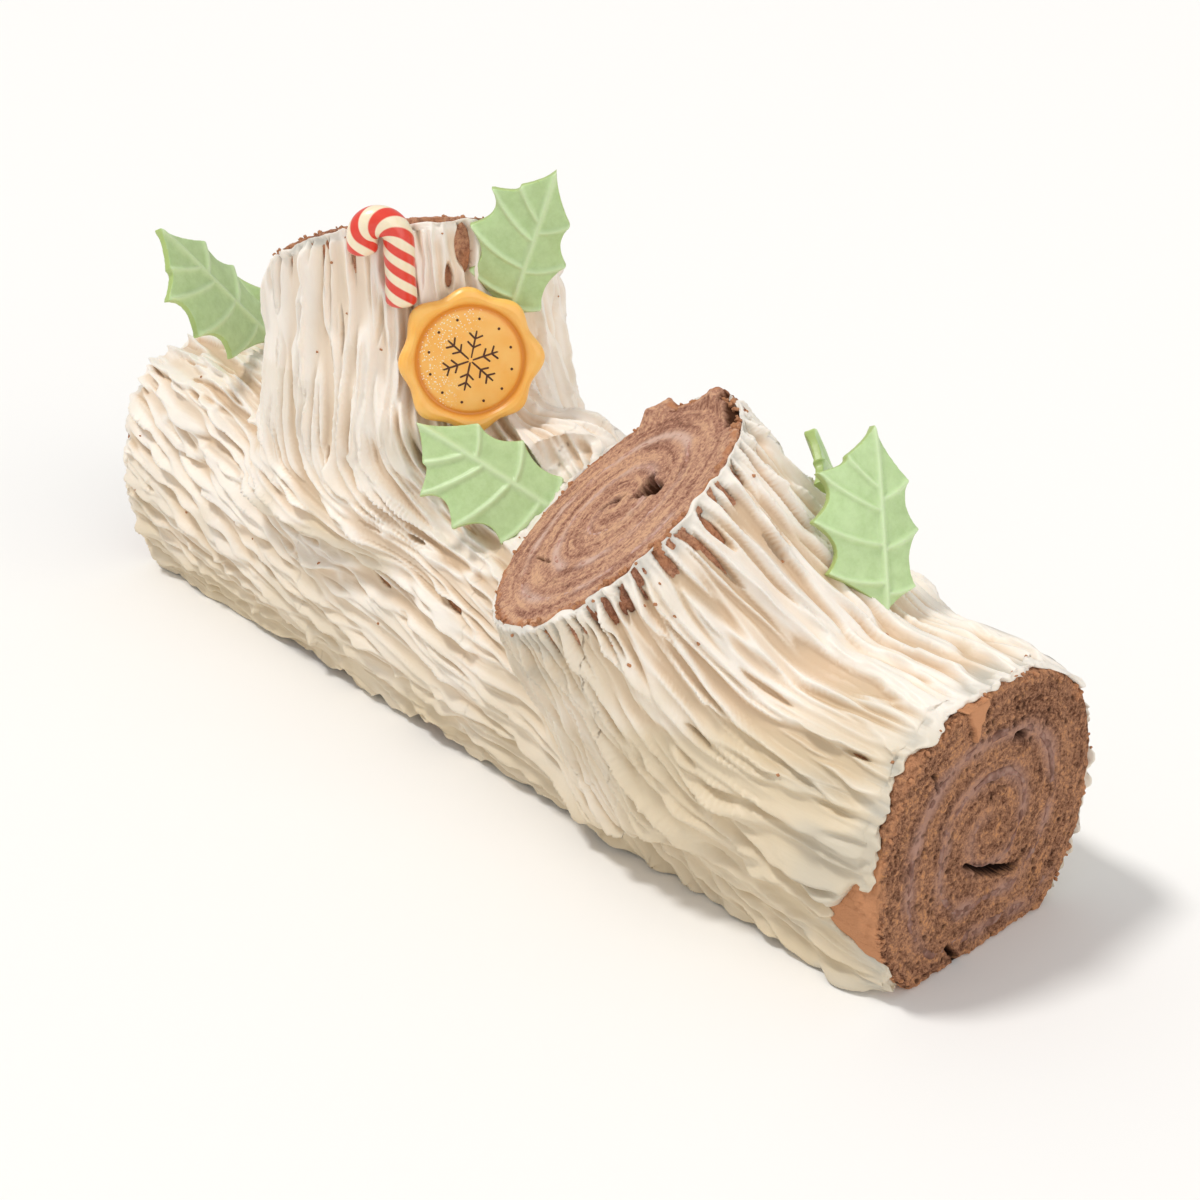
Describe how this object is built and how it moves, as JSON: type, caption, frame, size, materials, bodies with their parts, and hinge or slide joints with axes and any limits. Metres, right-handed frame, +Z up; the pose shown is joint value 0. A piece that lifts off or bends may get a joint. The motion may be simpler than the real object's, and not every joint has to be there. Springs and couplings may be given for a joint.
{
  "type": "yule log cake",
  "caption": "Rolled chocolate sponge log with sawn branch pieces, covered in combed buttercream bark and dressed with holly leaves, a candy cane and a seal.",
  "frame": {"origin": "on the flat underside of the sponge, under the centre line of the log, close to the middle of its length", "axes": "+X along the log to its near cut end, +Y to its back, +Z up"},
  "size_m": [0.3855, 0.1246, 0.1838],
  "materials": {
    "sponge": "matt, open chocolate sponge crumb",
    "filling": "matt pinkish-brown cream layer",
    "buttercream": "soft satin ivory buttercream, combed",
    "leaf_fondant": "satin pale green moulded icing",
    "seal_fondant": "satin to glossy amber moulded icing",
    "candy": "glossy red and cream stripes"
  },
  "bodies": {
    "root": {"log_sponge": "sponge", "log_filling": "filling", "rear_branch_sponge": "sponge", "rear_branch_filling": "filling", "front_branch_sponge": "sponge", "front_branch_filling": "filling", "holly_leaf_right": "leaf_fondant", "holly_leaf_right_back": "leaf_fondant", "holly_leaf_centre": "leaf_fondant", "holly_leaf_top": "leaf_fondant", "holly_leaf_left": "leaf_fondant", "holly_leaf_left_back": "leaf_fondant", "seal_plaque": "seal_fondant", "candy_cane": "candy", "icing": "buttercream"}
  },
  "joints": []
}
